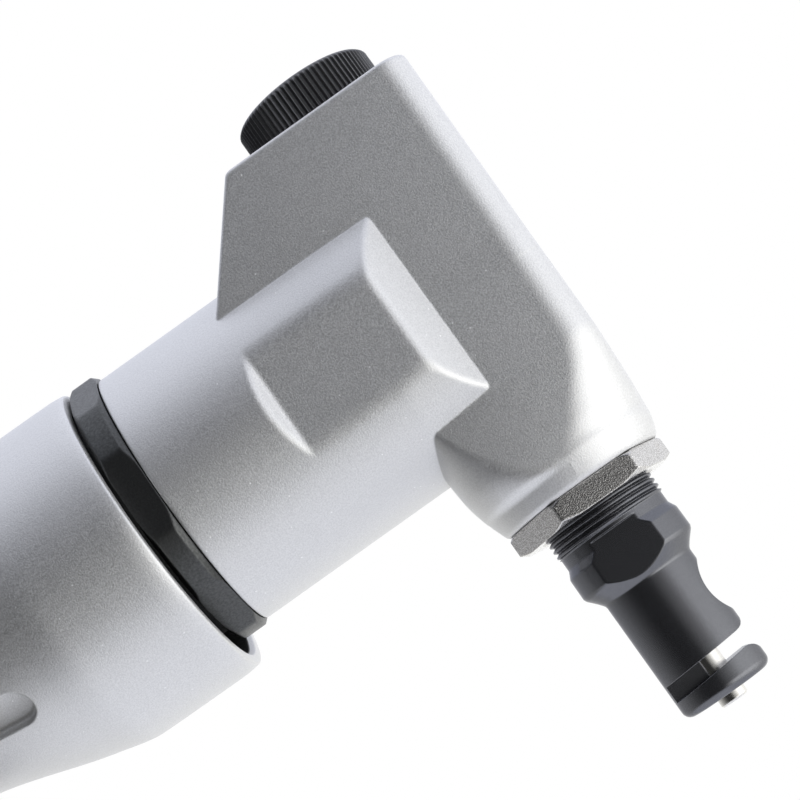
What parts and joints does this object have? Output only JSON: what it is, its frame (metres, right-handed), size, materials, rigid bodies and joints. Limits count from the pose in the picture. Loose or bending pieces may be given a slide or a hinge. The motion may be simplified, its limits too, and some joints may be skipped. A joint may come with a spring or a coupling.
{
  "type": "air nibbler",
  "caption": "Straight-grip air nibbler for sheet metal: vane motor, planetary gears and crank drive a ram and punch through a turnable slotted die at right angles to the barrel.",
  "frame": {"origin": "centre of the air inlet's mouth, on the barrel's axis", "axes": "+X along the barrel from the air inlet to the punching head, +Z away from the die so that the punch strikes along -Z, Y across the tool"},
  "size_m": [0.2209, 0.0532, 0.1179],
  "materials": {
    "silver_paint": "fine-grained satin silver paint on cast aluminium",
    "black_oxide": "satin black oxide on turned steel",
    "black_knurl": "matt black, straight knurled",
    "nickel": "nickel plated, grainy flats",
    "tool_steel": "bright ground tool steel",
    "ground_steel": "ground steel with an oil film",
    "gear_steel": "hardened gear steel",
    "bearing_steel": "polished bearing steel",
    "cylinder_iron": "bored and ground cast iron",
    "bronze": "oil-filled bronze",
    "vane_laminate": "cloth laminate",
    "seal_rubber": "black nitrile rubber",
    "plated_steel": "zinc plated steel",
    "screen_steel": "bright drawn wire and gauze",
    "black_screw": "blackened screw and spring steel",
    "lever_black": "satin black coated steel"
  },
  "bodies": {
    "housing": {"barrel": "silver_paint", "head_housing": "silver_paint", "lock_ring": "black_oxide", "top_cap": "black_knurl", "cap_oring": "seal_rubber", "lock_nut": "nickel", "ram_bush_upper": "bronze", "ram_bush_lower": "bronze", "bearing_circlip": "black_screw", "crank_bearing_front_outer": "bearing_steel", "crank_bearing_rear_outer": "bearing_steel", "ring_gear": "gear_steel", "gear_washer": "gear_steel", "motor_cylinder": "cylinder_iron", "front_end_plate": "cylinder_iron", "rear_end_plate": "cylinder_iron", "cylinder_dowel": "ground_steel", "rotor_bearing_front_outer": "bearing_steel", "rotor_bearing_rear_outer": "bearing_steel", "inlet_bushing": "plated_steel", "inlet_screen": "screen_steel", "inlet_oring": "seal_rubber", "lever_pin": "plated_steel", "valve_seat": "bronze", "valve_spring": "screen_steel", "valve_plug": "black_screw"},
    "rotor": {"rotor": "gear_steel", "vanes": "vane_laminate", "rotor_bearing_front_inner": "bearing_steel", "rotor_bearing_rear_inner": "bearing_steel"},
    "crank": {"crankshaft": "ground_steel", "crank_sleeve": "ground_steel", "planet_pins": "ground_steel", "crank_bearing_front_inner": "bearing_steel", "crank_bearing_rear_inner": "bearing_steel"},
    "planet_1": {"planet_gear_1": "gear_steel"},
    "planet_2": {"planet_gear_2": "gear_steel"},
    "planet_3": {"planet_gear_3": "gear_steel"},
    "ram": {"ram": "ground_steel", "punch": "tool_steel", "punch_screw": "black_screw"},
    "die": {"die_body": "black_oxide"},
    "lever": {"throttle_lever": "lever_black"},
    "valve": {"valve_stem": "ground_steel", "valve_oring": "seal_rubber"}
  },
  "joints": [
    {"name": "rotor_spin", "type": "hinge", "parent": "housing", "child": "rotor", "pos_m": [0.128, 0, 0], "axis": [1, 0, 0], "range_deg": [0, 900]},
    {"name": "crank_spin", "type": "hinge", "parent": "housing", "child": "crank", "pos_m": [0.18, 0, 0], "axis": [1, 0, 0], "range_deg": [0, 180]},
    {"name": "planet_spin_1", "type": "hinge", "parent": "crank", "child": "planet_1", "pos_m": [0.1635, 0.0105, 0], "axis": [1, 0, 0], "range_deg": [-480, 0]},
    {"name": "planet_spin_2", "type": "hinge", "parent": "crank", "child": "planet_2", "pos_m": [0.1635, -0.00525, 0.00909], "axis": [1, 0, 0], "range_deg": [-480, 0]},
    {"name": "planet_spin_3", "type": "hinge", "parent": "crank", "child": "planet_3", "pos_m": [0.1635, -0.00525, -0.00909], "axis": [1, 0, 0], "range_deg": [-480, 0]},
    {"name": "ram_slide", "type": "slide", "parent": "housing", "child": "ram", "axis": [0, 0, 1], "range_m": [0, 0.0064]},
    {"name": "die_swivel", "type": "hinge", "parent": "housing", "child": "die", "pos_m": [0.205, 0, -0.05], "axis": [0, 0, 1], "range_deg": [-180, 180]},
    {"name": "lever_press", "type": "hinge", "parent": "housing", "child": "lever", "pos_m": [0.029, 0, -0.0236], "axis": [0, -1, 0], "range_deg": [0, 10.5], "stiffness_Nm_per_rad": 0.4, "springref_deg": -6.88},
    {"name": "valve_lift", "type": "slide", "parent": "housing", "child": "valve", "axis": [0, 0, 1], "range_m": [0, 0.003], "deforming": ["valve_spring"]}
  ],
  "couplings": [
    {"joint": "rotor_spin", "follows": "ram_slide", "rad_per_m": 2454.4},
    {"joint": "crank_spin", "follows": "ram_slide", "rad_per_m": 490.87},
    {"joint": "planet_spin_1", "follows": "ram_slide", "rad_per_m": -1309},
    {"joint": "planet_spin_2", "follows": "ram_slide", "rad_per_m": -1309},
    {"joint": "planet_spin_3", "follows": "ram_slide", "rad_per_m": -1309},
    {"joint": "valve_lift", "follows": "lever_press", "m_per_rad": 0.016}
  ]
}
